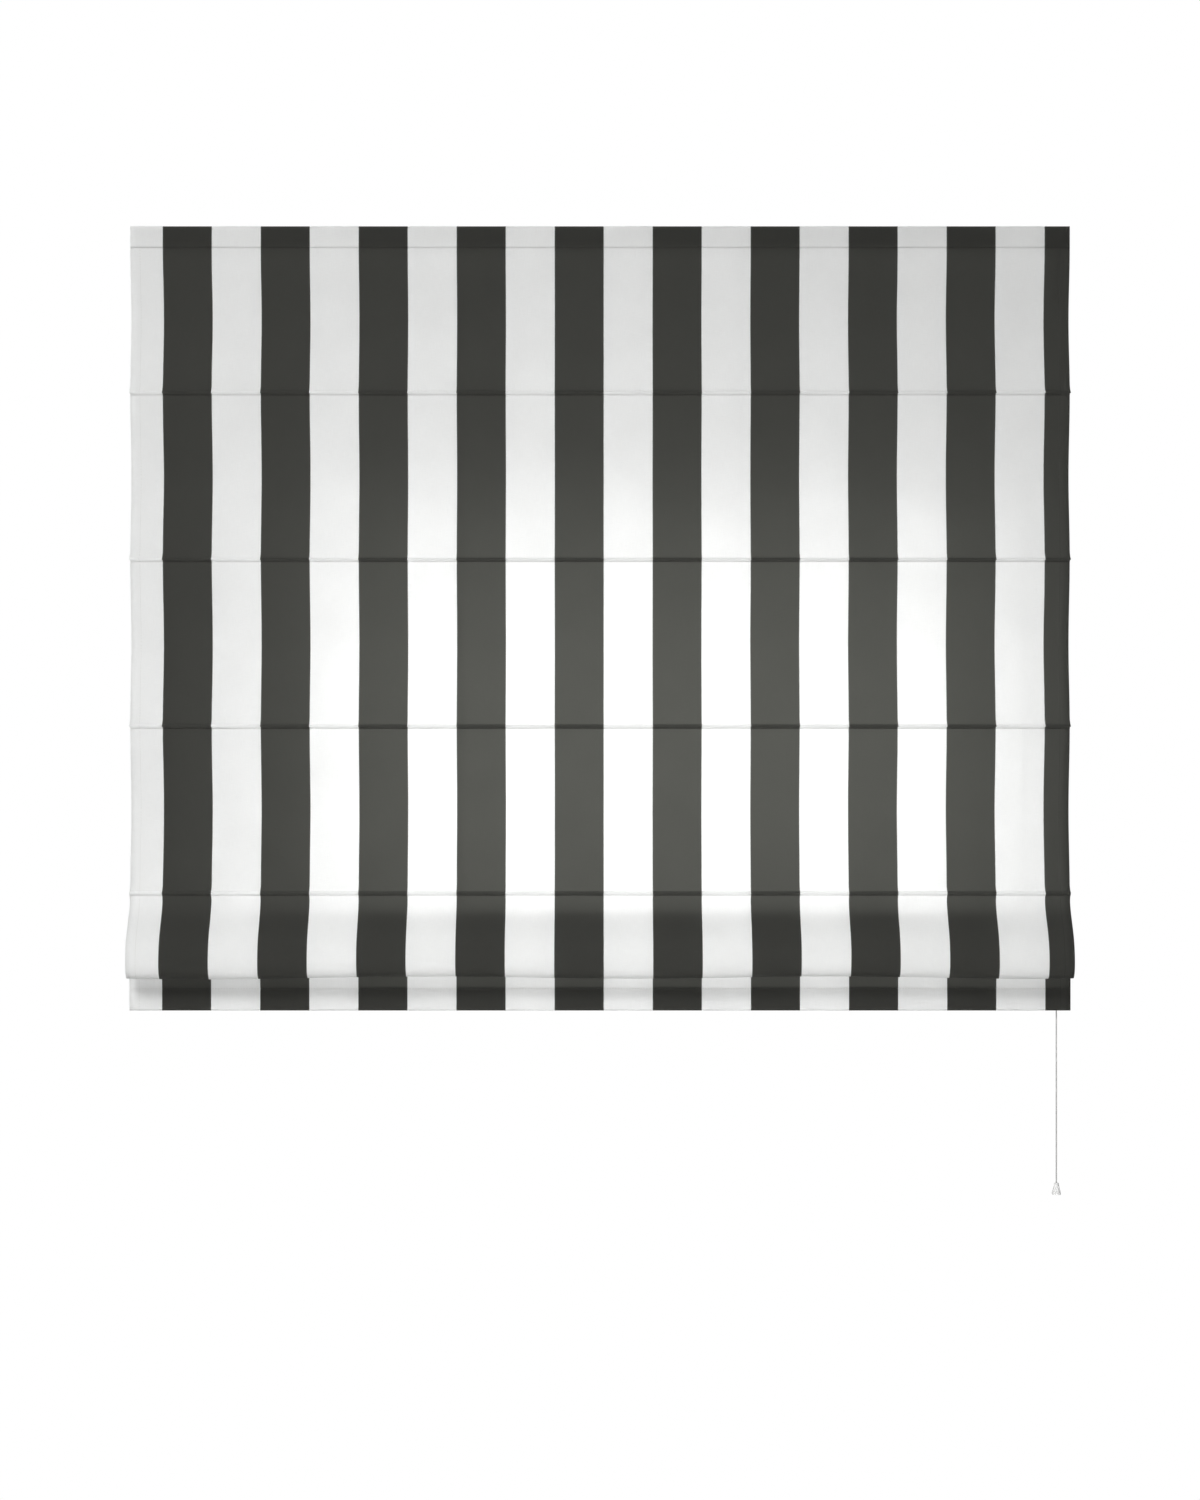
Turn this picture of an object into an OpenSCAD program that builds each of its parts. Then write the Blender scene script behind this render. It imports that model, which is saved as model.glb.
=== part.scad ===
// Roman blind of striped woven cloth with a corded lift, in millimetres.
// The wall is the plane y = 0 and the cloth hangs in front of it, towards -y. +x is to the right, +z is up.
// The origin is the middle of the two screw holes of the middle bracket.

/* [Cloth] */
// Width of the cloth
cloth_w = 1400; // [1000:10:1800]
// Thickness of the cloth
cloth_t = 0.8; // [0.6:0.1:1.2]
// Drop from the top edge to the first rod, and from each rod to the next
panel_drop = 248.5; // [200:0.5:300]
// Width of one stripe
stripe_w = 73; // [40:1:120]
// Width of the part stripe at the left edge
edge_stripe_w = 48.5; // [10:0.5:70]
// How far a panel hangs back half way between two rods
panel_sag = 4; // [1:0.5:6]
// Height of the cloth's top edge above the rail
top_stand = 2.5; // [2:0.5:5]
// Radius of the crease above and below each rod's ridge
crease_r = 1.2; // [0.8:0.1:2]

/* [Bottom fold] */
// Height of the fold below the fourth rod
fold_drop = 123; // [110:1:140]
// How far the fold stands forward of the panels
fold_depth = 43; // [30:1:55]
// Height of the fold's lip, from its fullest point to its lowest
fold_lip = 23; // [18:1:30]
// How far the lowest rod hangs below the rod above it
rod_gap = 30; // [24:1:50]
// Length of the bottom panel, from the lowest rod to the lower edge of the hem
hem_panel = 145; // [130:1:200]
// Length of cloth that is turned up behind the hem's seam
seam_l = 6; // [4:1:12]

/* [Rods and rings] */
// Diameter of a rod
rod_d = 3; // [2:0.5:4]
// Wall of the woven sleeve that holds a rod
sleeve_wall = 0.6; // [0.4:0.1:1]
// How far a sleeve stands behind the middle of the cloth
sleeve_set = 1.1; // [0.6:0.1:1.6]
// Length by which a sleeve is shorter than the cloth at each end
sleeve_inset = 4; // [2:1:15]
// Length by which a rod is shorter than its sleeve at each end
rod_inset = 4; // [2:1:15]
// Bore of a lift ring
ring_bore_d = 8; // [6:0.5:12]
// Diameter of a lift ring's wire
ring_wire_d = 2; // [1.5:0.1:3]
// Distance from the cloth's edge to the outer lift cords
cord_inset = 70; // [50:1:120]

/* [Bottom bar] */
// Height of the bar in the hem
bar_h = 25; // [20:1:32]
// Thickness of the bar in the hem
bar_t = 3; // [2:0.5:4]
// Length by which the bar is shorter than the cloth at each end
bar_inset = 8; // [5:1:20]

/* [Headrail] */
// Depth of the rail, from front to back
rail_depth = 25; // [24:0.5:32]
// Height of the rail
rail_h = 30; // [28:0.5:40]
// Wall of the rail
rail_wall = 1.4; // [1:0.1:1.8]
// Width of each lip along the open top
rail_lip = 5; // [4:0.5:6]
// Distance from the wall to the back of the rail
wall_gap = 5; // [4.5:0.5:12]
// Thickness of an end cap's plate, which ends flush with the cloth's edge
cap_t = 2; // [1.5:0.5:3]
// Length of an end cap's plug inside the rail
plug_l = 4; // [3:0.5:5]
// Wall of an end cap's plug
plug_wall = 1.6; // [1.2:0.1:2]
// Height and depth of the two ribs that place the fastening tape
rib_h = 0.8; // [0.5:0.1:1]

/* [Fastening tape] */
// Width of the hook and loop tapes
tape_w = 20; // [16:1:22]
// Thickness of each tape
tape_t = 1.5; // [1.2:0.1:2]

/* [Wall brackets] */
// Width of a bracket
bracket_w = 30; // [26:1:50]
// Thickness of a bracket's steel
bracket_t = 1.6; // [1.2:0.1:2]
// Distance from the cloth's edge to the middle of an outer bracket
bracket_inset = 130; // [110:5:250]
// Diameter of a screw hole
screw_hole_d = 4.4; // [3.5:0.1:5.5]
// Distance between the two screw holes
screw_pitch = 14; // [12:1:16]
// How far the brackets' feet reach under the rail's lips
foot_l = 3; // [2:0.5:3.5]

/* [Cords and guides] */
// Diameter of a cord
cord_d = 2; // [1.6:0.1:2.2]
// Distance between neighbouring cords in the rail
lane_pitch = 4.5; // [4.4:0.1:4.8]
// Radius at which a cord runs round a pulley, at the middle of the cord
turn_r = 5; // [4.8:0.1:5.5]
// Height of a pulley's rim above the middle of the cord
rim_h = 1; // [0.6:0.1:1.2]
// Width of a pulley
pulley_w = 3.6; // [3.4:0.1:3.8]
// Diameter of a pulley's pin
pin_d = 2; // [1.6:0.1:2.4]
// Thickness of a guide's cheeks
cheek_t = 0.8; // [0.7:0.1:0.9]
// Thickness of the base plate of a guide and of the cord lock
base_t = 1.6; // [1.2:0.1:2]
// Outer diameter of a guide's spout
spout_d = 7; // [6:0.5:8]
// Length of the spout below the rail
spout_l = 2.5; // [2:0.5:4]
// Width and height of the flare at a spout's mouth
flare = 1.2; // [0.8:0.1:1.4]
// Wall round a pulley's pin
pin_wall = 1.4; // [1:0.1:1.6]
// How far the base plate of a guide and of the cord lock reaches past what stands on it
base_edge = 1; // [0.5:0.1:1.5]
// Length of cord that hangs out below a barrel
cord_tail = 12; // [6:1:30]

/* [Cord lock] */
// Distance from the cloth's right edge to the pull cord
pull_inset = 17; // [15:1:20]
// Diameter of the lock's pins
lock_pin_d = 2.4; // [2:0.1:2.8]
// Thickness of the lock's cheeks
lock_cheek_t = 1.2; // [1:0.1:1.4]
// Length of the exit roller beyond the outer cords
roller_end = 1; // [0.6:0.1:1.2]
// Distance from the exit roller's pin back to the pawl's pin
pawl_back = 16; // [15:0.5:20]
// Height of the pawl's pin above the cords
pawl_rise = 7; // [6:0.5:8]
// Wall round the lock's pins
lock_wall = 2; // [1.6:0.1:2.4]
// Wall round the pin of the pawl
hub_wall = 1.6; // [1.2:0.1:2]
// Number of teeth on the pawl's nose
pawl_teeth = 5; // [3:1:8]
// Height of a tooth
tooth_h = 0.8; // [0.5:0.1:1]
// Length of a tooth
tooth_l = 1.3; // [1:0.1:1.4]

/* [Pull] */
// Distance from the screw holes down to the top of the joiner
joiner_drop = 70; // [50:1:120]
// Diameter of the joiner where the four cords become one
joiner_d = 10; // [9:0.5:11]
// Height of the joiner
joiner_h = 22; // [20:1:30]
// Depth of the joiner's holes
joiner_depth = 9; // [7:0.5:9.5]
// Thickness of the web between neighbouring holes of the joiner
joiner_web = 0.8; // [0.6:0.1:1]
// How far the pull hangs behind the middle of the rail
pull_back = 1.5; // [0:0.5:3]
// Length of the pull cord from its end in the joiner to its knot
pull_l = 1331; // [600:1:1700]
// Height of the tassel
tassel_h = 17; // [15:1:30]
// Diameter of the tassel's mouth
tassel_d = 14; // [12:0.5:20]
// Diameter of the tassel's shoulder
tassel_top_d = 7; // [6:0.5:9]
// Wall of the tassel
tassel_wall = 1.2; // [1:0.1:1.6]
// Length of the tassel's neck, where the cord goes through
tassel_neck = 3; // [2:0.5:5]
// Diameter of the knot in the tassel
knot_d = 4; // [3:0.5:4.5]
// Length of the barrel that adjusts each lift cord
adjuster_h = 12; // [8:1:16]
// Diameter of that barrel
adjuster_d = 7; // [6:0.5:7.5]
// Radius of the rounded edges of the joiner and the barrels
edge_r = 1; // [0.5:0.1:1.2]

/* [Clearances] */
// Room between soft pieces and what they lie against
soft_gap = 0.3; // [0.2:0.05:0.4]
// Radial room of a running fit
run_gap = 0.05; // [0.03:0.01:0.1]
// Room between parts that are clipped or pushed together
slip_gap = 0.2; // [0.1:0.05:0.3]

/* [Hidden] */
$fn = 48;
eps = 0.01;

rod_count = 5;
cord_count = 4;

white_cloth = "gainsboro";
black_cloth = [0.2, 0.2, 0.19];
white_plastic = "whitesmoke";
clear_plastic = "lightgrey";
cord_colour = "ghostwhite";
steel = "silver";
brass = "goldenrod";

// Depths, from the wall outwards
rail_back = -wall_gap;
rail_front = rail_back - rail_depth;
rail_mid = (rail_back + rail_front) / 2;
cloth_back = rail_front - 2 * tape_t;
cloth_mid = cloth_back - cloth_t / 2;
sleeve_r = rod_d / 2 + soft_gap + sleeve_wall;
sleeve_y = cloth_mid + sleeve_set;
ring_r = (ring_bore_d + ring_wire_d) / 2;
ring_y = sleeve_y + sleeve_r + soft_gap + ring_r + ring_wire_d / 2;

// Heights: the screw holes are half way up the rail
rail_bottom = -rail_h / 2;
rail_top = rail_h / 2;
rail_floor = rail_bottom + rail_wall;
cloth_top = rail_top + top_stand;
function rod_z(i) = i < rod_count
    ? cloth_top - i * panel_drop
    : cloth_top - (rod_count - 1) * panel_drop - rod_gap;
hem_z = rod_z(rod_count) - hem_panel;

// Lengths along x
rail_l = cloth_w - 2 * cap_t;
sleeve_l = cloth_w - 2 * sleeve_inset;
rod_l = sleeve_l - 2 * rod_inset;
bar_l = cloth_w - 2 * bar_inset;
inner_depth = rail_depth - 2 * rail_wall;
column_pitch = (cloth_w - 2 * cord_inset) / (cord_count - 1);
function column_x(i) = -cloth_w / 2 + cord_inset + (i - 1) * column_pitch;
function lane_y(i) = rail_mid - (cord_count + 1 - 2 * i) * lane_pitch / 2;

// Cord runs in the rail: the pulleys stand on the base plates, and every cord leaves them at one height
cord_r = cord_d / 2;
cord_bore_r = cord_r + soft_gap;
rim_r = turn_r + rim_h;
base_top = rail_floor + base_t;
pulley_z = base_top + rim_r + soft_gap;
run_z = pulley_z + turn_r;
pull_x = cloth_w / 2 - pull_inset;
lock_x = pull_x - turn_r;
pawl_x = lock_x - pawl_back;
pawl_z = run_z + pawl_rise;
roller_l = (cord_count - 1) * lane_pitch + cord_d + 2 * roller_end;
lock_inner = roller_l + 2 * slip_gap;
spout_z = rail_bottom - spout_l;

// The pull below the lock: the cord ends in a knot that hangs under the tassel's neck
joiner_top = -joiner_drop;
joiner_mouth = cord_bore_r + joiner_web / 2;
pull_y = rail_mid + pull_back;
pull_start = joiner_top - joiner_h + joiner_depth - cord_d;
pull_steps = 15;
pull_route = [for (k = [0:pull_steps]) [pull_x, pull_y, pull_start - pull_l * k / pull_steps]];
knot_z = pull_start - pull_l;
tassel_top = knot_z + knot_d / 2 + soft_gap + tassel_neck;

// Points on an arc of a circle in a plane, from angle a to angle b
function arc(c, r, a, b, n = 6) = [for (k = [0:n]) let (t = a + (b - a) * k / n) c + r * [cos(t), sin(t)]];

// Points on a cubic curve through p[0] and p[3], without the first point
function curve(p, n = 10) = [for (k = [1:n]) let (t = k / n, s = 1 - t)
    s * s * s * p[0] + 3 * s * s * t * p[1] + 3 * s * t * t * p[2] + t * t * t * p[3]];

function unit(v) = v / norm(v);

// A line of points moved sideways by d, with mitred corners
function sideways(p, d) = [for (k = [0:len(p) - 1])
    let (a = unit(p[max(k, 1)] - p[max(k, 1) - 1]), b = unit(p[min(k + 1, len(p) - 1)] - p[min(k, len(p) - 2)]))
    let (m = unit(a + b))
    p[k] + d * [-m.y, m.x] / (m * a)];

// Section of the cloth as points [y, z] along its middle

// Sag of a panel from height a to height b
function panel(a, b, n = 10) = [for (k = [1:n - 1])
    [cloth_mid + panel_sag * (1 - cos(360 * k / n)) / 2, a + (b - a) * k / n]];

// Ridge round a rod's sleeve: a crease, the ridge itself and a second crease
ridge_r = sleeve_r + soft_gap + cloth_t / 2;
ridge_turn = acos((sleeve_set + crease_r) / (ridge_r + crease_r));
ridge_h = (ridge_r + crease_r) * sin(ridge_turn);
ridge_ease = 12;
function ridge(z) = concat(
    arc([cloth_mid - crease_r, z + ridge_h], crease_r, 0, -ridge_turn, 4),
    arc([sleeve_y, z], ridge_r, 180 - ridge_turn + ridge_ease, 180 + ridge_turn - ridge_ease, 8),
    arc([cloth_mid - crease_r, z - ridge_h], crease_r, ridge_turn, 0, 4));

// Soft fold in front of the lowest rod, then the tight turn that hangs under that rod's sleeve
turn_in = cloth_t * 2;
turn_z = rod_z(rod_count) - sleeve_r - soft_gap - cloth_t / 2 - turn_in;
fold_front = cloth_mid - fold_depth;
fold_low = rod_z(rod_count - 1) - fold_drop + cloth_t / 2;
fold_full = fold_low + fold_lip;
fold_start = rod_z(rod_count - 1) - ridge_h;
fold_run = fold_start - fold_full;
// Shares of the fold's height and depth that shape its three curves:
// down to the belly, round the lip and back up
fold_tuck = fold_depth * 0.35;
fold_hang = fold_run * 0.4;
fold_belly = fold_run * 0.5;
lip_round = fold_lip * 0.6;
lip_tuck = fold_tuck * 0.45;
back_run = fold_tuck * 2.2;
back_rise = fold_drop * 0.35;
turn_from = 170;
fold = concat(
    curve([[cloth_mid, fold_start], [cloth_mid, fold_start - fold_hang],
        [fold_front, fold_full + fold_belly], [fold_front, fold_full]], 14),
    curve([[fold_front, fold_full], [fold_front, fold_full - lip_round],
        [fold_front + lip_tuck, fold_low], [fold_front + fold_tuck, fold_low]], 10),
    curve([[fold_front + fold_tuck, fold_low], [fold_front + back_run, fold_low],
        [sleeve_y - turn_in, fold_low + back_rise], [sleeve_y - turn_in, turn_z]], 14),
    arc([sleeve_y, turn_z], turn_in, turn_from, 0, 8));

// Hem: down the bottom panel, round the bar and up to the seam behind it
hem_y = sleeve_y + turn_in;
bar_y = hem_y + cloth_t / 2 + soft_gap + bar_t / 2;
hem_turn = bar_y - hem_y;
bar_low = hem_z + cloth_t + soft_gap;
seam_z = bar_low + bar_h + bar_t + 2 * soft_gap;
hem = concat(
    arc([bar_y, hem_z + cloth_t / 2 + hem_turn], hem_turn, 180, 360, 10),
    [[bar_y + hem_turn, bar_low + bar_h], [hem_y + cloth_t + soft_gap, seam_z],
        [hem_y + cloth_t + soft_gap, seam_z + seam_l]]);

section = concat(
    [[cloth_mid, cloth_top], [cloth_mid, rail_bottom]],
    [for (i = [1:rod_count - 1]) each concat(
        panel(i == 1 ? rail_bottom : rod_z(i - 1) - ridge_h, rod_z(i) + ridge_h),
        ridge(rod_z(i)))],
    fold,
    hem);

// A flat shape in [y, z] drawn out along x for a length l, to both sides of x = 0
module along_x(l) {
    rotate([90, 0, 90]) linear_extrude(l, center = true) children();
}

// A flat shape in [x, z] drawn out along y for a width w, to both sides of y = 0
module along_y(w) {
    rotate([90, 0, 0]) linear_extrude(w, center = true) children();
}

// A tube along a route that never runs along y
module cord(route, r, sides = 8) {
    n = len(route);
    rings = [for (k = [0:n - 1])
        let (t = unit(unit(route[min(k + 1, n - 1)] - route[min(k, n - 2)])
            + unit(route[max(k, 1)] - route[max(k, 1) - 1])))
        let (u = unit(cross(t, [0, 1, 0])), v = cross(u, t))
        each [for (j = [0:sides - 1]) route[k] + r * (cos(360 * j / sides) * u + sin(360 * j / sides) * v)]];
    walls = [for (k = [0:n - 2], j = [0:sides - 1]) let (a = k * sides, b = (j + 1) % sides)
        [a + j, a + b, a + sides + b, a + sides + j]];
    start = [for (j = [sides - 1:-1:0]) j];
    finish = [for (j = [0:sides - 1]) (n - 1) * sides + j];
    color(cord_colour) polyhedron(rings, concat(walls, [start, finish]));
}

// One sheet of cloth in stripes that run down it
module cloth() {
    front = sideways(section, -cloth_t / 2);
    back = sideways(section, cloth_t / 2);
    outline = concat(back, [for (j = [len(front) - 1:-1:0]) front[j]]);
    stripe_count = ceil((cloth_w - edge_stripe_w) / stripe_w) + 1;
    for (k = [0:stripe_count - 1]) {
        left = k == 0 ? 0 : edge_stripe_w + (k - 1) * stripe_w;
        right = min(edge_stripe_w + k * stripe_w, cloth_w);
        color(k % 2 == 0 ? white_cloth : black_cloth)
            translate([(left + right - cloth_w) / 2, 0, 0])
                along_x(right - left) polygon(outline);
    }
}

// Channel that is open at the top, with a lip along each edge and two ribs for the tape
module rail_section() {
    difference() {
        translate([rail_front, rail_bottom]) square([rail_depth, rail_h]);
        translate([rail_front + rail_wall, rail_floor])
            square([inner_depth, rail_h - 2 * rail_wall]);
        translate([rail_front + rail_wall + rail_lip, rail_floor])
            square([inner_depth - 2 * rail_lip, rail_h]);
    }
    for (side = [-1, 1])
        translate([rail_front - rib_h, side * (tape_w / 2 + slip_gap + rib_h / 2) - rib_h / 2])
            square([rib_h + eps, rib_h]);
}

module headrail() {
    color(white_plastic) difference() {
        along_x(rail_l) rail_section();
        for (i = [1:cord_count])
            translate([column_x(i), lane_y(i), rail_bottom - eps])
                cylinder(d = spout_d + 2 * slip_gap, h = rail_wall + 2 * eps);
        translate([pull_x, rail_mid, rail_bottom + rail_wall / 2])
            cube([spout_d + 2 * slip_gap, lock_inner + 2 * slip_gap, rail_wall + 2 * eps], center = true);
    }
}

// Cap with a plate over the rail's end and a plug that follows the inside of the channel
module end_cap(side) {
    plug_h = rail_h - 2 * rail_wall - 2 * slip_gap;
    plug_w = inner_depth - 2 * slip_gap;
    color(white_plastic) translate([side * rail_l / 2, rail_mid, 0]) {
        translate([side * cap_t / 2, 0, 0]) cube([cap_t, rail_depth, rail_h], center = true);
        difference() {
            translate([-side * plug_l / 2, 0, 0])
                cube([plug_l, plug_w, plug_h], center = true);
            translate([-side * plug_l / 2, 0, 0])
                cube([plug_l + eps, plug_w - 2 * plug_wall, plug_h - 2 * plug_wall], center = true);
        }
    }
}

module tape(front) {
    color(white_plastic) translate([0, front + tape_t / 2, 0])
        cube([rail_l, tape_t, tape_w], center = true);
}

// Steel plate on the wall whose top reaches over the rail and grips both lips from below
module wall_bracket(x) {
    lip_under = rail_top - rail_wall - slip_gap;
    front_leg = rail_front + rail_wall + rail_lip + slip_gap;
    back_leg = rail_back - rail_wall - rail_lip - slip_gap - bracket_t;
    color(steel) translate([x, 0, 0]) difference() {
        along_x(bracket_w) {
            translate([-bracket_t, rail_bottom + rail_wall])
                square([bracket_t, rail_h - rail_wall + bracket_t]);
            translate([rail_front, rail_top]) square([-rail_front, bracket_t]);
            translate([front_leg, lip_under - bracket_t])
                square([bracket_t, rail_top - lip_under + bracket_t + eps]);
            translate([front_leg - foot_l, lip_under - bracket_t]) square([foot_l + eps, bracket_t]);
            translate([back_leg, lip_under - bracket_t])
                square([bracket_t, rail_top - lip_under + bracket_t + eps]);
            translate([back_leg + bracket_t - eps, lip_under - bracket_t]) square([foot_l + eps, bracket_t]);
        }
        for (side = [-1, 1])
            translate([side * screw_pitch / 2, -bracket_t / 2, 0])
                rotate([90, 0, 0]) cylinder(d = screw_hole_d, h = bracket_t + 2 * eps, center = true);
    }
}

// Moulded guide that clips into the rail's floor: a base, a spout for the cord and two cheeks for the pulley
module cord_guide(i) {
    cheek_r = pin_d / 2 + pin_wall;
    color(white_plastic) translate([column_x(i), 0, 0]) difference() {
        union() {
            translate([-spout_d / 2 - base_edge, rail_mid - inner_depth / 2 + slip_gap, rail_floor])
                cube([spout_d / 2 + turn_r + rim_r + base_edge, inner_depth - 2 * slip_gap, base_t]);
            translate([0, lane_y(i), spout_z]) cylinder(d = spout_d, h = rail_floor - spout_z + eps);
            for (side = [-1, 1])
                translate([turn_r, lane_y(i) + side * (pulley_w / 2 + slip_gap + cheek_t / 2), 0])
                    along_y(cheek_t) {
                        translate([-cheek_r, base_top - eps])
                            square([2 * cheek_r, pulley_z - base_top + eps]);
                        translate([0, pulley_z]) circle(cheek_r);
                    }
        }
        translate([0, lane_y(i), spout_z - eps]) cylinder(r = cord_bore_r, h = base_top - spout_z + 2 * eps);
        translate([0, lane_y(i), spout_z - eps]) cylinder(r1 = cord_bore_r + flare, r2 = cord_bore_r, h = flare);
        translate([turn_r, lane_y(i), pulley_z]) rotate([90, 0, 0])
            cylinder(d = pin_d + 2 * eps, h = pulley_w + 4 * cheek_t, center = true);
    }
}

// Grooved wheel that turns on its pin
module guide_pulley(i) {
    groove_r = cord_r + soft_gap;
    color(brass) translate([column_x(i) + turn_r, lane_y(i), pulley_z]) rotate([90, 0, 0]) rotate_extrude()
        difference() {
            translate([pin_d / 2 + run_gap, -pulley_w / 2]) square([rim_r - pin_d / 2 - run_gap, pulley_w]);
            translate([turn_r, 0]) circle(groove_r);
            translate([turn_r, -groove_r]) square([rim_r, 2 * groove_r]);
        }
}

module guide_pins() {
    color(steel) for (i = [1:cord_count])
        translate([column_x(i) + turn_r, lane_y(i), pulley_z]) rotate([90, 0, 0])
            cylinder(d = pin_d, h = pulley_w + 2 * slip_gap + 2 * cheek_t, center = true);
}

// Housing of the cord lock: base, spout, cheeks and the pad that the pawl presses the cords on
module cord_lock_body() {
    lobe_r = lock_pin_d / 2 + lock_wall;
    left = pawl_x - lobe_r - base_edge;
    right = pull_x + spout_d / 2;
    pad_l = turn_r + tooth_h * pawl_teeth;
    pad_right = lock_x - turn_r + cord_r - slip_gap;
    pad_top = run_z - cord_r - soft_gap;
    color(white_plastic) difference() {
        union() {
            translate([left, rail_mid - inner_depth / 2 + slip_gap, rail_floor])
                cube([right - left, inner_depth - 2 * slip_gap, base_t]);
            translate([pull_x - spout_d / 2, rail_mid - lock_inner / 2, spout_z])
                cube([spout_d, lock_inner, rail_floor - spout_z + eps]);
            translate([pad_right - pad_l, rail_mid - lock_inner / 2 - eps, base_top - eps])
                cube([pad_l, lock_inner + 2 * eps, pad_top - base_top + eps]);
            for (side = [-1, 1])
                translate([0, rail_mid + side * (lock_inner / 2 + lock_cheek_t / 2), 0])
                    along_y(lock_cheek_t) {
                        polygon([[pawl_x - lobe_r, base_top - eps], [pawl_x - lobe_r, pawl_z],
                            [pawl_x + lobe_r, pawl_z], [lock_x + lobe_r, pulley_z + lobe_r],
                            [right - base_edge, pulley_z], [right - base_edge, base_top - eps]]);
                        translate([pawl_x, pawl_z]) circle(lobe_r);
                    }
        }
        translate([pull_x - cord_bore_r - slip_gap, rail_mid - lock_inner / 2 + cheek_t, spout_z - eps])
            cube([2 * (cord_bore_r + slip_gap), lock_inner - 2 * cheek_t, base_top - spout_z + 2 * eps]);
        for (p = [[lock_x, pulley_z], [pawl_x, pawl_z]])
            translate([p.x, rail_mid, p.y]) rotate([90, 0, 0])
                cylinder(d = lock_pin_d + 2 * eps, h = lock_inner + 4 * lock_cheek_t, center = true);
    }
}

// Roller that all four cords leave the rail over
module lock_roller() {
    color(brass) translate([lock_x, rail_mid, pulley_z]) rotate([90, 0, 0]) difference() {
        cylinder(r = turn_r - cord_r - soft_gap, h = roller_l, center = true);
        cylinder(d = lock_pin_d + 2 * run_gap, h = roller_l + 2 * eps, center = true);
    }
}

// Toothed pawl that drops on the cords
module lock_pawl() {
    hub_r = lock_pin_d / 2 + hub_wall;
    nose_z = run_z + cord_r + soft_gap;
    nose_x = lock_x - turn_r - tooth_h * pawl_teeth;
    tip_x = nose_x + tooth_l * pawl_teeth;
    color(brass) translate([0, rail_mid, 0]) difference() {
        along_y(roller_l) {
            translate([pawl_x, pawl_z]) circle(hub_r);
            polygon(concat(
                [[pawl_x, pawl_z - hub_r], [nose_x - tooth_l, nose_z + 2 * tooth_h]],
                [for (k = [0:pawl_teeth - 1]) each [[nose_x + k * tooth_l, nose_z + tooth_h],
                    [nose_x + (k + 1) * tooth_l, nose_z]]],
                [[tip_x, nose_z + 3 * tooth_h], [pawl_x, pawl_z + hub_r]]));
        }
        translate([pawl_x, 0, pawl_z]) rotate([90, 0, 0])
            cylinder(d = lock_pin_d + 2 * run_gap, h = roller_l + 2 * eps, center = true);
    }
}

module lock_pins() {
    color(steel) for (p = [[lock_x, pulley_z], [pawl_x, pawl_z]])
        translate([p.x, rail_mid, p.y]) rotate([90, 0, 0])
            cylinder(d = lock_pin_d, h = lock_inner + 2 * lock_cheek_t, center = true);
}

module rod(i) {
    color(white_plastic) translate([0, sleeve_y, rod_z(i)]) rotate([0, 90, 0])
        cylinder(d = rod_d, h = rod_l, center = true);
}

// Woven tube that is sewn to the back of the cloth
module rod_sleeve(i) {
    color(white_cloth) translate([0, sleeve_y, rod_z(i)]) rotate([0, 90, 0]) difference() {
        cylinder(r = sleeve_r, h = sleeve_l, center = true);
        cylinder(r = sleeve_r - sleeve_wall, h = sleeve_l + 2 * eps, center = true);
    }
}

module rings(i) {
    color(clear_plastic) for (k = [1:cord_count])
        translate([column_x(k), ring_y, rod_z(i)])
            rotate_extrude() translate([ring_r, 0]) circle(d = ring_wire_d);
}

// Flat bar with round edges
module bottom_bar() {
    color(steel) translate([0, bar_y, bar_low + bar_h / 2]) along_x(bar_l) {
        square([bar_t, bar_h - bar_t], center = true);
        for (side = [-1, 1]) translate([0, side * (bar_h - bar_t) / 2]) circle(d = bar_t);
    }
}

// Small barrels that hold the lower ends of the lift cords
module cord_adjusters() {
    top = rod_z(rod_count) - ring_wire_d / 2 - soft_gap;
    color(white_plastic) for (k = [1:cord_count])
        translate([column_x(k), ring_y, top - adjuster_h]) rotate_extrude() difference() {
            union() {
                translate([cord_bore_r, 0]) square([adjuster_d / 2 - cord_bore_r - edge_r, adjuster_h]);
                translate([cord_bore_r, edge_r])
                    square([adjuster_d / 2 - cord_bore_r, adjuster_h - 2 * edge_r]);
                for (z = [edge_r, adjuster_h - edge_r]) translate([adjuster_d / 2 - edge_r, z]) circle(edge_r);
            }
            translate([0, -eps]) square([cord_bore_r, adjuster_h + 2 * eps]);
        }
}

// A lift cord, from its barrel up through the rings, over its pulley, along the rail, over the roller and
// down into the joiner
function joiner_x(i) = pull_x + (i % 2 == 0 ? 1 : -1) * joiner_mouth;
function joiner_y(i) = pull_y + (i <= cord_count / 2 ? -1 : 1) * joiner_mouth;
module lift_cord(i) {
    x = column_x(i);
    y = lane_y(i);
    tail_z = rod_z(rod_count) - adjuster_h - cord_tail;
    cord(concat(
        [[x, ring_y, tail_z], [x, ring_y, rod_z(rod_count)]],
        [for (k = [rod_count - 1:-1:1]) [x, ring_y, rod_z(k)]],
        [[x, y, spout_z - 3 * cord_d], [x, y, base_top]],
        [for (a = [0:15:90]) [x + turn_r - turn_r * cos(a), y, pulley_z + turn_r * sin(a)]],
        [for (a = [0:15:90]) [lock_x + turn_r * sin(a), y, pulley_z + turn_r * cos(a)]],
        [[pull_x, y, base_top], [pull_x, y, spout_z], [joiner_x(i), joiner_y(i), joiner_top + cord_d],
            [joiner_x(i), joiner_y(i), joiner_top - joiner_depth + cord_r]]),
        cord_r);
}

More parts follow.
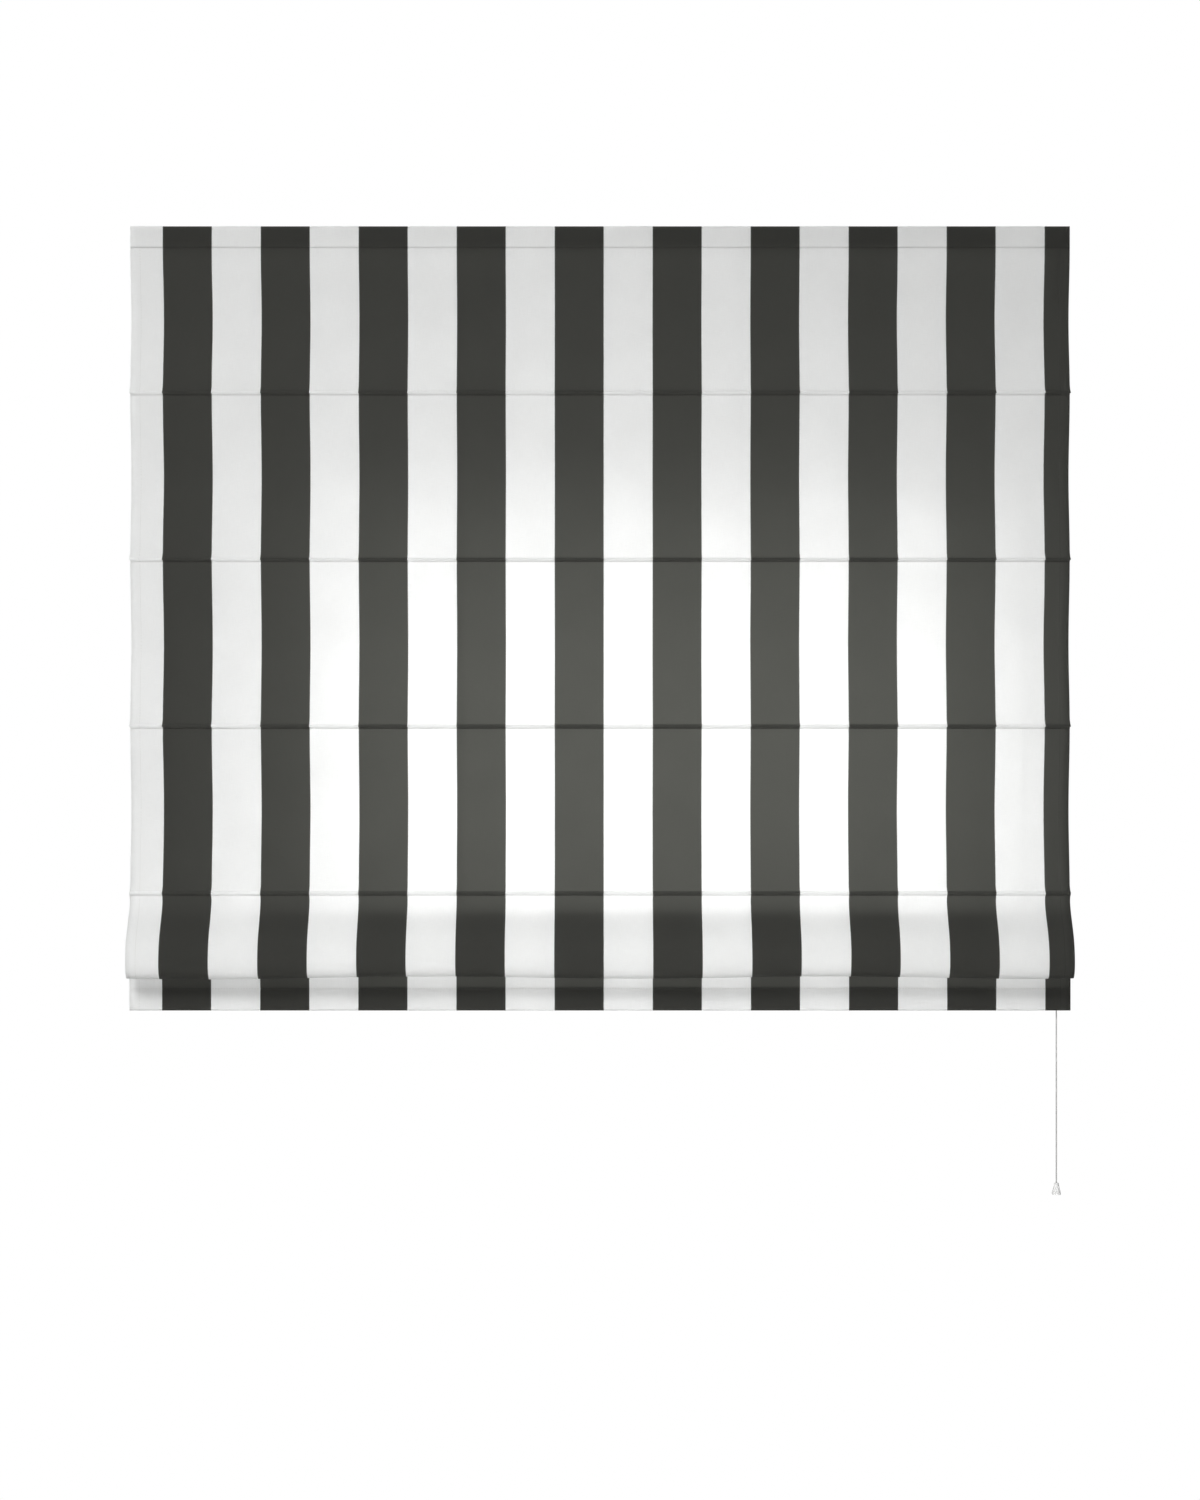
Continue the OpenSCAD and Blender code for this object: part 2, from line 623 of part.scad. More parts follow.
// Turned joiner with four blind holes above and one below
module cord_joiner() {
    color(white_plastic) difference() {
        translate([pull_x, pull_y, joiner_top - joiner_h]) rotate_extrude() union() {
            square([joiner_d / 2, joiner_h - edge_r]);
            square([joiner_d / 2 - edge_r, joiner_h]);
            translate([joiner_d / 2 - edge_r, joiner_h - edge_r]) circle(edge_r);
        }
        for (i = [1:cord_count])
            translate([joiner_x(i), joiner_y(i), joiner_top - joiner_depth])
                cylinder(r = cord_bore_r, h = joiner_depth + eps);
        translate([pull_x, pull_y, joiner_top - joiner_h - eps])
            cylinder(r = cord_bore_r, h = joiner_depth);
    }
}

module pull_cord() {
    cord(pull_route, cord_r);
}

// Hollow bell on the end of the pull cord
module tassel_side(d_top, d_mouth, h) {
    bend_z = h * 0.42;
    bend = (d_mouth - d_top) / 6;
    polygon(concat([[0, 0], [d_mouth / 2, 0]],
        curve([[d_mouth / 2, 0], [d_mouth / 2 - bend, bend_z], [d_top / 2 + bend, bend_z], [d_top / 2, h]], 10),
        [[0, h]]));
}

module tassel() {
    color(clear_plastic) translate([pull_x, pull_y, tassel_top - tassel_h]) rotate_extrude() difference() {
        tassel_side(tassel_top_d, tassel_d, tassel_h);
        translate([0, -eps])
            tassel_side(tassel_top_d - 2 * tassel_wall, tassel_d - 2 * tassel_wall, tassel_h - tassel_neck);
        square([cord_bore_r, tassel_h + eps]);
    }
}

module tassel_knot() {
    color(cord_colour) translate([pull_x, pull_y, knot_z]) sphere(d = knot_d);
}

cloth();
headrail();
end_cap(-1);  // end_cap_left
end_cap(1);  // end_cap_right
tape(rail_front - tape_t);  // hook_tape
tape(rail_front - 2 * tape_t);  // loop_tape
wall_bracket(bracket_inset - cloth_w / 2);  // wall_bracket_left
wall_bracket(0);  // wall_bracket_middle
wall_bracket(cloth_w / 2 - bracket_inset);  // wall_bracket_right
for (i = [1:cord_count]) {
    cord_guide(i);
    guide_pulley(i);
    lift_cord(i);
}
guide_pins();
cord_lock_body();
lock_roller();
lock_pawl();
lock_pins();
for (i = [1:rod_count]) {
    rod(i);
    rod_sleeve(i);
    rings(i);
}
bottom_bar();
cord_adjusters();
cord_joiner();
pull_cord();
tassel();
tassel_knot();
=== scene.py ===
"""Roman blind of striped cloth: camera, cords, cloth, stitching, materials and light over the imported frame.

Lengths are in millimetres, apart from those of the materials, the lights and the camera's place, which are in
metres. The sizes of the blind repeat the part's own.
The cloth is one continuous surface that is cut, along lines that stay closed at every pose, into the pieces
that ride on the rail, the rods and the bottom bar.
"""
import math

import bpy
import numpy as np
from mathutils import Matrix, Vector


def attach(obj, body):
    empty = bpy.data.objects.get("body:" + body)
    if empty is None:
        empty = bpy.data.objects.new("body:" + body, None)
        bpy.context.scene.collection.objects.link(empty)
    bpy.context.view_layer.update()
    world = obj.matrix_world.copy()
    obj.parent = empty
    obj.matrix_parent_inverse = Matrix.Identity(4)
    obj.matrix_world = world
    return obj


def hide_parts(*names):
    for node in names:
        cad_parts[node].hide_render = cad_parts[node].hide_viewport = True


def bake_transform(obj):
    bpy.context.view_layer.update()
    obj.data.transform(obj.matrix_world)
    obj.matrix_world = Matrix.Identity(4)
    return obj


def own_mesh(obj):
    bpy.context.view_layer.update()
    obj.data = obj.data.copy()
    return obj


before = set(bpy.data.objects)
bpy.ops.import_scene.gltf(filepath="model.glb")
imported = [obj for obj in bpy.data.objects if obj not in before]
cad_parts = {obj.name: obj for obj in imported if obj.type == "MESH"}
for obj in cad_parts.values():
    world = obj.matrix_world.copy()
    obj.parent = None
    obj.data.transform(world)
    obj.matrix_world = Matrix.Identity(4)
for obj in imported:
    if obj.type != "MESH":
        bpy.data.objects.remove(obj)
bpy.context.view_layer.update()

MM = 0.001

# Sizes of the cloth and of what it hangs on
CLOTH_W = 1400.0
CLOTH_T = 0.8
STRIPE_W = 73.0
STRIPE_EDGES = 19
EDGE_STRIPE_W = 48.5
CLOTH_MID = -33.4
CLOTH_TOP = 17.5
RAIL_BOTTOM = -15.0
PANEL_DROP = 248.5
PANEL_SAG = 4.0
LAST_DROP = 30.0
ROD_Z = [CLOTH_TOP - PANEL_DROP * i for i in range(5)]
ROD_Z.append(ROD_Z[4] - LAST_DROP)
SLEEVE_Y = -32.3
SLEEVE_R = 2.4
SLEEVE_L = 1392.0
RIDGE_R = 3.1
CREASE_R = 1.2
RIDGE_TURN = math.degrees(math.acos((SLEEVE_Y - CLOTH_MID + CREASE_R) / (RIDGE_R + CREASE_R)))
RIDGE_H = (RIDGE_R + CREASE_R) * math.sin(math.radians(RIDGE_TURN))
SIDE_HEM = 17.0

# The bottom fold and the hem
FOLD_DROP = 123.0
FOLD_DEPTH = 43.0
FOLD_LIP = 23.0
FOLD_FRONT = CLOTH_MID - FOLD_DEPTH
FOLD_LOW = ROD_Z[4] - FOLD_DROP + CLOTH_T / 2
FOLD_FULL = FOLD_LOW + FOLD_LIP
FOLD_START = ROD_Z[4] - RIDGE_H
FOLD_RUN = FOLD_START - FOLD_FULL
FOLD_TUCK = FOLD_DEPTH * 0.35
FOLD_LEAN = 8.0
TURN_IN = 1.6
CLEARANCE = 0.3
TURN_Z = ROD_Z[5] - SLEEVE_R - CLEARANCE - CLOTH_T / 2 - TURN_IN
HEM_DROP = 145.0
HEM_Z = ROD_Z[5] - HEM_DROP
HEM_Y = SLEEVE_Y + TURN_IN
BAR_T = 3.0
BAR_H = 25.0
BAR_Y = HEM_Y + CLOTH_T / 2 + CLEARANCE + BAR_T / 2
BAR_TOP = HEM_Z + CLOTH_T + CLEARANCE + BAR_H
HEM_TURN = BAR_Y - HEM_Y
SEAM_UP = 3.6
SEAM_Z = BAR_TOP + SEAM_UP
SEAM_L = 6.0
SEAM_Y = HEM_Y + CLOTH_T + CLEARANCE

# The cords, with the turns, mouths and spouts that they pass
CORD_R = 1.0
COLUMN_X = [-630.0, -210.0, 210.0, 630.0]
LANE_Y = [-24.25, -19.75, -15.25, -10.75]
RING_Y = -23.6
RING_WIRE_Y = -28.6
PULLEY_Z = -5.7
TURN_R = 5.0
BASE_TOP = -12.0
SPOUT_Z = -17.5
LOCK_X = 678.0
PULL_X = 683.0
PULL_Y = -16.0
JOINER_TOP = -70.0
JOINER_MOUTH = 1.7
LEAD_IN = 8.0
PULL_START = -85.0
PULL_L = 1331.0
PULL_STEPS = 15
PULL_STEP_L = 12.0
CORD_STEP_L = 2.0
TAIL_L = 24.0
RUN_GAP = 0.05
RUN_STEPS = 16
RUN_BEND = 1.45

# How the cloth departs from its plain section: widths lost or gained at each side, then waves along its
# width, each with its height, its length and its share of the panel's phase
WAIST = 1.1
ROD_END = 1.3
ROD_END_L = 7.0
HEM_END = 1.6
HEM_END_L = 60.0
LOOSE_WAVES = ((0.55, 330.0, 1.0), (0.35, 143.0, 2.3))
FINE_WAVES = ((0.22, 57.0, 1.0), (0.14, 31.0, 3.1))
FOLD_WAVES = ((1.6, 520.0, 2.0), (0.9, 231.0, 0.0))
PANEL_PHASE = 1.9
FINE_START = 8.0
FINE_REACH = 34.0

# The fold's lower edge: a wave and one lower corner, each with its height, its length and its place
FOLD_DIP = (1.8, 585.0, -250.0)
FOLD_CORNER = (2.0, 130.0, -660.0)

# The gap in front of the tape, and the side hems' second layer, which starts below the rail, is thin where a
# rod presses it, and ends above the hem's seam
TAPE_CLEAR = 0.2
TAPE_EASE = 5.0
HEM_STEP = 0.6
HEM_LAYER = 0.7
HEM_START = 1.0
HEM_EASE = 3.0
HEM_STOP = 10.0
ROD_PRESS = 0.9
ROD_PRESS_L = 6.0

# Rod sleeves: their pinched ends, and two ripples along them, each with its height and its length per radian
SLEEVE_END = 6.0
PINCH_L = 5.0
PINCH = 0.25
PINCH_FLAT = 0.35
SLEEVE_RIPPLES = ((0.07, 5.1), (0.06, 12.7))

# The turns of thread that hold a ring: how far each is aside, and how it tilts
RING_TURNS = ((-1.0, 0.25), (0.0, -0.1), (1.0, 0.2))

# Stitches: each is four cross-sections of four points, sunk at both ends
STITCH_PITCH = 4.2
STITCH_INSET = 2.5
STITCH_L = 2.7
STITCH_W = 0.55
STITCH_SUNK = 0.1
STITCH_SHARES = np.array([0.0, 0.3, 0.7, 1.0])
STITCH_LIFTS = np.array([-STITCH_SUNK, 0.3, 0.3, -STITCH_SUNK])
STITCH_FACES = [(4 * r + c, 4 * r + (c + 1) % 4, 4 * r + 4 + (c + 1) % 4, 4 * r + 4 + c)
                for r in range(3) for c in range(4)] + [(3, 2, 1, 0), (12, 13, 14, 15)]


def unit(vectors):
    """The same directions with a length of 1."""
    return vectors / np.linalg.norm(vectors, axis=-1, keepdims=True)


def distances(points):
    """How far along a line each of its points is."""
    return np.concatenate([[0], np.cumsum(np.linalg.norm(np.diff(points, axis=0), axis=1))])


def shifted(faces, start):
    """The same faces for points that are listed from start on."""
    return [tuple(v + start for v in face) for face in faces]


def link(obj):
    """Put a new object into the scene."""
    bpy.context.scene.collection.objects.link(obj)
    return obj


def mesh_object(name, points, faces, smooth=True):
    """A mesh object from points in millimetres."""
    mesh = bpy.data.meshes.new(name)
    mesh.from_pydata((np.asarray(points, float) * MM).tolist(), [], faces)
    mesh.polygons.foreach_set("use_smooth", [smooth] * len(mesh.polygons))
    mesh.update()
    return link(bpy.data.objects.new(name, mesh))


# Materials

class Shader:
    """The node tree of a material or a world, with short ways to add the nodes that they share."""

    def __init__(self, owner, output="ShaderNodeOutputMaterial"):
        owner.use_nodes = True
        self.owner = owner
        self.tree = owner.node_tree
        self.tree.nodes.clear()
        self.output = self.add(output)

    def add(self, kind, **values):
        node = self.tree.nodes.new(kind)
        for key, value in values.items():
            setattr(node, key, value)
        return node

    def join(self, source, target):
        self.tree.links.new(source, target)

    def put(self, value, socket):
        """Set a socket to a number, or join another node's output to it."""
        if isinstance(value, (int, float)):
            socket.default_value = value
        else:
            self.join(value, socket)

    def math(self, operation, *values, clamp=False):
        node = self.add("ShaderNodeMath", operation=operation, use_clamp=clamp)
        for socket, value in zip(node.inputs, values):
            self.put(value, socket)
        return node.outputs[0]

    def threads(self):
        """The place along a sheet's or a cord's threads, and its two parts."""
        place = self.add("ShaderNodeUVMap", uv_map="threads").outputs["UV"]
        parts = self.add("ShaderNodeSeparateXYZ")
        self.join(place, parts.inputs[0])
        return place, parts.outputs["X"], parts.outputs["Y"]

    def noise(self, vector, scale, detail=3.0):
        node = self.add("ShaderNodeTexNoise")
        node.inputs["Scale"].default_value = scale
        node.inputs["Detail"].default_value = detail
        self.join(vector, node.inputs["Vector"])
        return node.outputs["Fac"]

    def stretched(self, vector, scale):
        node = self.add("ShaderNodeMapping")
        node.inputs["Scale"].default_value = scale
        self.join(vector, node.inputs["Vector"])
        return node.outputs["Vector"]

    def between(self, factor, low, high, start=0.0, stop=1.0):
        """A value from low to high as factor goes from start to stop."""
        node = self.add("ShaderNodeMapRange")
        self.join(factor, node.inputs["Value"])
        for socket, value in (("From Min", start), ("From Max", stop), ("To Min", low), ("To Max", high)):
            node.inputs[socket].default_value = value
        return node.outputs["Result"]

    def shade(self, factor, dark, light):
        """A colour from dark to light as factor goes from 0.25 to 0.75."""
        node = self.add("ShaderNodeValToRGB")
        node.color_ramp.elements[0].position = 0.25
        node.color_ramp.elements[0].color = (*dark, 1)
        node.color_ramp.elements[1].position = 0.75
        node.color_ramp.elements[1].color = (*light, 1)
        self.join(factor, node.inputs["Fac"])
        return node.outputs["Color"]

    def bump(self, height, strength, distance):
        node = self.add("ShaderNodeBump")
        node.inputs["Strength"].default_value = strength
        node.inputs["Distance"].default_value = distance
        self.join(height, node.inputs["Height"])
        return node.outputs["Normal"]

    def principled(self, colour, roughness, normal, **values):
        node = self.add("ShaderNodeBsdfPrincipled")
        for key, value in values.items():
            node.inputs[key].default_value = value
        self.join(colour, node.inputs["Base Color"])
        self.join(roughness, node.inputs["Roughness"])
        self.join(normal, node.inputs["Normal"])
        return node.outputs[0]

    def mixed(self, first, second, share):
        """Two surfaces, with the share of the second."""
        node = self.add("ShaderNodeMixShader")
        self.put(share, node.inputs["Fac"])
        self.join(first, node.inputs[1])
        self.join(second, node.inputs[2])
        return node.outputs[0]

    def done(self, surface):
        self.join(surface, self.output.inputs["Surface"])
        return self.owner


def new_shader(name):
    return Shader(bpy.data.materials.new(name))


def tinted(colour, share):
    """A lighter or darker colour."""
    return tuple(min(1.0, max(0.0, c * share)) for c in colour)


def woven(name, colour, glow, through, pitch=0.0009, depth=0.00016):
    """Plain-woven cloth: threads from the sheet's own coordinates, slubs along them, and light through it."""
    s = new_shader(name)
    place, place_x, place_y = s.threads()
    across = s.math("SINE", s.math("MULTIPLY", place_x, math.tau / pitch))
    down = s.math("SINE", s.math("MULTIPLY", place_y, math.tau / pitch))
    weave = s.math("MULTIPLY_ADD", s.math("MULTIPLY", across, down), 0.5, 0.5)
    slub_across = s.noise(s.stretched(place, (90.0, 1500.0, 1.0)), 1.0)
    slub_down = s.noise(s.stretched(place, (1500.0, 60.0, 1.0)), 1.0)
    slubs = s.math("MULTIPLY", s.math("ADD", slub_across, slub_down), 0.5)
    cloudy = s.noise(place, 14.0, 2.0)
    tone = s.math("ADD", s.math("MULTIPLY", slubs, 0.7), s.math("MULTIPLY", cloudy, 0.3))
    height = s.math("ADD", weave, s.math("MULTIPLY", slubs, 0.8))
    normal = s.bump(height, 0.35, depth)
    front = s.principled(
        s.shade(tone, tinted(colour, 0.95), tinted(colour, 1.05)),
        s.between(slubs, 0.78, 0.92), normal,
        **{"Specular IOR Level": 0.2, "Sheen Weight": 0.05, "Sheen Roughness": 0.5})
    back = s.add("ShaderNodeBsdfTranslucent")
    s.join(s.shade(tone, tinted(glow, 0.94), tinted(glow, 1.06)), back.inputs["Color"])
    s.join(normal, back.inputs["Normal"])
    return s.done(s.mixed(front, back.outputs[0], through))


def finish(name, colour, rough, metallic=0.0, grain=900.0, stretch=(1, 1, 1), depth=0.00003, vary=0.04,
           **values):
    """A moulded, painted or metal finish: fine grain in colour, roughness and bump, with a cloudy tone."""
    s = new_shader(name)
    place = s.add("ShaderNodeTexCoord").outputs["Object"]
    fine = s.noise(s.stretched(place, stretch), grain)
    cloudy = s.noise(place, 22.0, 2.0)
    tone = s.math("ADD", s.math("MULTIPLY", fine, 0.5), s.math("MULTIPLY", cloudy, 0.5))
    surface = s.principled(
        s.shade(tone, tinted(colour, 1 - vary), tinted(colour, 1 + vary)),
        s.between(fine, rough - 0.07, rough + 0.07), s.bump(fine, 0.25, depth),
        Metallic=metallic, **values)
    return s.done(surface)


def braided(name, colour, turns=420.0, strand_count=4):
    """Braided cord: two sets of strands that wind opposite ways round it, so many turns to the metre."""
    s = new_shader(name)
    place, place_x, place_y = s.threads()
    round_it = s.math("MULTIPLY", place_x, math.tau * strand_count)
    along = s.math("MULTIPLY", place_y, math.tau * turns)
    one = s.math("SINE", s.math("ADD", round_it, along))
    two = s.math("SINE", s.math("SUBTRACT", round_it, along))
    strands = s.math("MAXIMUM", one, two)
    fibre = s.noise(s.stretched(place, (30.0, 2500.0, 1.0)), 1.0)
    height = s.math("ADD", s.math("MULTIPLY", strands, 0.5), s.math("MULTIPLY", fibre, 0.4))
    # The colour follows the height: the grooves between the strands are painted shade, darker than the
    # strands, mixed with the fibres' own tone.
    surface = s.principled(
        s.shade(height, tinted(colour, 0.84), tinted(colour, 1.04)),
        s.between(fibre, 0.6, 0.8), s.bump(height, 0.6, 0.0002), **{"Sheen Weight": 0.1})
    return s.done(surface)


WHITE = (0.85, 0.855, 0.85)
BLACK = (0.040, 0.040, 0.036)
white_cloth = woven("white_cloth", WHITE, (0.93, 0.93, 0.925), 0.45)
black_cloth = woven("black_cloth", BLACK, (0.41, 0.415, 0.39), 0.45)
sleeve_cloth = woven("sleeve_cloth", (0.78, 0.78, 0.76), (0.7, 0.7, 0.68), 0.2, pitch=0.0006)
white_thread = braided("white_thread", (0.74, 0.74, 0.72), 900.0)
black_thread = braided("black_thread", (0.05, 0.05, 0.047), 900.0)
# The cords' grey is painted shade: a white cord made darker to stand for the shade along it.
cord_cover = braided("cord_cover", (0.42, 0.42, 0.415))

rail_paint = finish("rail_paint", (0.84, 0.84, 0.83), 0.34, grain=1400.0, vary=0.02)
plastic = finish("white_plastic", (0.80, 0.80, 0.785), 0.42, grain=700.0, vary=0.025)
hook_pile = finish("hook_pile", (0.78, 0.78, 0.76), 0.85, grain=2600.0, depth=0.0004, vary=0.08)
zinc = finish("zinc_steel", (0.62, 0.63, 0.64), 0.38, metallic=1.0, grain=260.0, vary=0.08)
pin_steel = finish("pin_steel", (0.58, 0.58, 0.6), 0.26, metallic=1.0, grain=900.0, stretch=(1, 0.05, 1))
brass = finish("brass", (0.72, 0.53, 0.24), 0.3, metallic=1.0, grain=700.0, stretch=(1, 0.08, 1), vary=0.06)
fibre_rod = finish("fibre_rod", (0.8, 0.79, 0.74), 0.36, grain=1500.0, stretch=(0.02, 1, 1), vary=0.05)
clear_ring = finish("clear_ring", (0.82, 0.83, 0.83), 0.18, grain=300.0, vary=0.02,
                    **{"Transmission Weight": 0.55, "IOR": 1.49})
aluminium = finish("aluminium", (0.66, 0.66, 0.67), 0.36, metallic=1.0, grain=1200.0, stretch=(0.02, 1, 1))
milky = finish("milky_plastic", (0.66, 0.66, 0.655), 0.25, grain=500.0, vary=0.02)

FINISHES = {
    "headrail": rail_paint, "end_cap": plastic, "hook_tape": hook_pile, "loop_tape": hook_pile,
    "wall_bracket": zinc, "cord_guide": plastic, "guide_pulley": brass, "guide_pins": pin_steel,
    "cord_lock_body": plastic, "lock_roller": brass, "lock_pawl": brass, "lock_pins": pin_steel,
    "rings": clear_ring, "bottom_bar": aluminium, "cord_adjusters": plastic, "cord_joiner": plastic,
    "tassel": milky, "rod": fibre_rod,
}
for name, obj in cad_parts.items():
    key = max((k for k in FINISHES if name.startswith(k)), key=len, default=None)
    if key:
        obj.data.materials.clear()
        obj.data.materials.append(FINISHES[key])


# Camera, at the photograph's place: four metres in front of the cloth and level with the middle of the frame

CAMERA_Y, CAMERA_Z = -4.034, -0.7628
SENSOR_W = 36.0
LENS = 64.43

camera = link(bpy.data.objects.new("camera", bpy.data.cameras.new("camera")))
camera.location = (0.0, CAMERA_Y, CAMERA_Z)
camera.rotation_euler = (math.radians(90), 0, 0)
camera.data.sensor_width = SENSOR_W
camera.data.lens = LENS
bpy.context.scene.camera = camera


# Cords

def set_threads(mesh, corners):
    """Give each corner of a mesh, in the order of its faces, a place along the threads."""
    layer = mesh.uv_layers.new(name="threads")
    layer.data.foreach_set("uv", np.asarray(corners, np.float32).ravel())


def round_faces(rows, sides, closed=False):
    """Faces of a tube of rows by sides points, and each corner's row and side, counted on past the seam."""
    r, c = np.meshgrid(np.arange(rows if closed else rows - 1), np.arange(sides), indexing="ij")
    r, c = r.ravel(), c.ravel()
    below, beside = (r + 1) % rows, (c + 1) % sides
    faces = np.stack([r * sides + c, r * sides + beside, below * sides + beside, below * sides + c], axis=1)
    return faces, np.stack([r, r, r + 1, r + 1], axis=1), np.stack([c, c + 1, c + 1, c], axis=1)


def rings(route, along, aside, radius, sides):
    """A ring of points round each point of a route, square to the direction along it."""
    along = unit(along)
    first = unit(np.cross(along, aside))
    second = np.cross(first, along)
    angle = np.arange(sides) * math.tau / sides
    return (route[:, None] + radius * (np.cos(angle)[None, :, None] * first[:, None]
                                       + np.sin(angle)[None, :, None] * second[:, None]))


def cord_object(name, points, faces, places):
    """A mesh object of a cord, with its places along the threads and its finish."""
    obj = mesh_object(name, points.reshape(-1, 3), faces)
    set_threads(obj.data, places)
    obj.data.materials.append(cord_cover)
    return obj


def tube(name, route, sides=10):
    """A round cord along a route in millimetres, closed at both ends."""
    route = np.asarray(route, float)
    step = unit(np.diff(route, axis=0))
    tangent = np.vstack([step, step[-1:]]) + np.vstack([step[:1], step])
    points = rings(route, tangent, (0.0, 1.0, 0.0), CORD_R, sides)
    rows = len(route)
    walls, corner_rows, corner_sides = round_faces(rows, sides)
    caps = [tuple(range(sides - 1, -1, -1)), tuple((rows - 1) * sides + c for c in range(sides))]
    length = distances(route) * MM
    places = np.stack([corner_sides / sides, length[corner_rows]], axis=-1).reshape(-1, 2)
    ends = [(c / sides, length[r]) for r in (0, -1) for c in range(sides)]
    return cord_object(name, points, walls.tolist() + caps, np.concatenate([places, ends]))


def finer(route, step):
    """The same route with points no further apart than step."""
    out = [np.asarray(route[0], float)]
    for point in route[1:]:
        point = np.asarray(point, float)
        count = max(1, math.ceil(np.linalg.norm(point - out[-1]) / step))
        out += [out[-1] + (point - out[-1]) * k / count for k in range(1, count + 1)]
    return out


def quarter(centre_x, y, side):
    """A cord's turn over a pulley or roller: up and over towards +x, or over and down."""
    angles = [math.radians(a) for a in range(0, 91, 15)]
    if side == "up":
        return [(centre_x - TURN_R * math.cos(a), y, PULLEY_Z + TURN_R * math.sin(a)) for a in angles]
    return [(centre_x + TURN_R * math.sin(a), y, PULLEY_Z + TURN_R * math.cos(a)) for a in angles]


pull_route = [(PULL_X, PULL_Y, PULL_START - PULL_L * k / PULL_STEPS) for k in range(PULL_STEPS + 1)]
pull_cord = tube("pull_cord_braid", finer(pull_route, PULL_STEP_L), sides=12)
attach(pull_cord, "pull")
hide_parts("pull_cord")
KNOT_Z = PULL_START - PULL_L


def knot(name, centre, size, radius, rows=96, sides=8):
    """An overhand knot, as a closed tube on a trefoil."""
    t = np.linspace(0, math.tau, rows + 1)[:-1]
    route = np.stack([np.sin(t) + 2 * np.sin(2 * t), np.cos(t) - 2 * np.cos(2 * t), -1.4 * np.sin(3 * t)],
                     axis=1)
    route = route * size / 3 + np.asarray(centre)
    tangent = np.roll(route, -1, axis=0) - np.roll(route, 1, axis=0)
    points = rings(route, tangent, (0.0, 0.0, 1.0), radius, sides)
    faces, corner_rows, corner_sides = round_faces(rows, sides, closed=True)
    turn = math.tau * size * MM / rows
    places = np.stack([corner_sides / sides, corner_rows * turn], axis=-1)
    return cord_object(name, points, faces.tolist(), places)


tassel_knot = knot("tassel_knot_cord", (PULL_X, PULL_Y, KNOT_Z), size=1.5, radius=0.62)
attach(tassel_knot, "pull")
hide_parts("tassel_knot")

BELOW_SPOUT = SPOUT_Z - 6 * CORD_R
stops = [BELOW_SPOUT, *ROD_Z[1:5]]


def lift_run(i, k, x, lane_y):
    """The run of a lift cord above rod k, which shortens as that rod rises."""
    top_y = lane_y if k == 1 else RING_Y
    top, low = stops[k - 1], stops[k]
    shares = [n / RUN_STEPS for n in range(RUN_STEPS + 1)]
    run = tube(f"lift_cord_{i}_drop_{k}",
               [(x, RING_Y + (top_y - RING_Y) * s ** RUN_BEND, low + RUN_GAP + (top - low - RUN_GAP) * s)
                for s in shares])
    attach(run, "rail" if k == 1 else f"row_{k - 1}")
    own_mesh(run)
    return run


for i, (x, y) in enumerate(zip(COLUMN_X, LANE_Y), start=1):
    mouth_x = PULL_X + (JOINER_MOUTH if i % 2 == 0 else -JOINER_MOUTH)
    mouth_y = PULL_Y + (-JOINER_MOUTH if i <= 2 else JOINER_MOUTH)
    in_rail = tube(
        f"lift_cord_{i}_in_rail",
        [(x, y, BELOW_SPOUT), (x, y, SPOUT_Z), (x, y, BASE_TOP), *quarter(x + TURN_R, y, "up"),
         *quarter(LOCK_X, y, "down"), (PULL_X, y, BASE_TOP), (PULL_X, y, SPOUT_Z)])
    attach(in_rail, "rail")
    runs = [lift_run(i, k, x, y) for k in range(1, 5)]
    tail = tube(
        f"lift_cord_{i}_tail",
        finer([(x, RING_Y, ROD_Z[5] - TAIL_L), (x, RING_Y, ROD_Z[5]), (x, RING_Y, ROD_Z[4])],
              CORD_STEP_L))
    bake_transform(tail)
    lead = tube(
        f"lift_cord_{i}_lead",
        finer([(PULL_X, y, SPOUT_Z), (mouth_x, mouth_y, JOINER_TOP + 2 * CORD_R),
               (mouth_x, mouth_y, JOINER_TOP - LEAD_IN)], CORD_STEP_L))
    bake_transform(lead)
    for piece in (in_rail, *runs, tail, lead):
        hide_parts(f"lift_cord_{i}")


# Cloth: a line of points down its section, then the sheet

def line(a, b, count):
    """Points from a to b, without a."""
    return [(a[0] + (b[0] - a[0]) * k / count, a[1] + (b[1] - a[1]) * k / count) for k in range(1, count + 1)]


def arc(centre, radius, start, stop, count):
    """Points round a centre, between two angles in degrees."""
    return [(centre[0] + radius * math.cos(math.radians(start + (stop - start) * k / count)),
             centre[1] + radius * math.sin(math.radians(start + (stop - start) * k / count)))
            for k in range(count + 1)]


def curve(a, b, c, d, count, start=0.0, stop=1.0):
    """Points on a stretch of a Bezier curve, without its first."""
    out = []
    for k in range(1, count + 1):
        t = start + (stop - start) * k / count
        s = 1 - t
        out.append(tuple(s * s * s * a[j] + 3 * s * s * t * b[j] + 3 * s * t * t * c[j] + t * t * t * d[j]
                         for j in (0, 1)))
    return out


def panel(top, low, start, stop, count):
    """Points on a stretch of a panel that sags back between its rods, without its first."""
    out = []
    for k in range(1, count + 1):
        t = start + (stop - start) * k / count
        out.append((CLOTH_MID + PANEL_SAG * (1 - math.cos(math.tau * t)) / 2, top + (low - top) * t))
    return out


def ridge(z, ease=8):
    """Points over a rod: a crease, the round of the sleeve, and a crease."""
    return (arc((CLOTH_MID - CREASE_R, z + RIDGE_H), CREASE_R, 0, -RIDGE_TURN, 6)[1:]
            + arc((SLEEVE_Y, z), RIDGE_R, 180 - RIDGE_TURN + ease, 180 + RIDGE_TURN - ease, 16)
            + arc((CLOTH_MID - CREASE_R, z - RIDGE_H), CREASE_R, RIDGE_TURN, 0, 6))


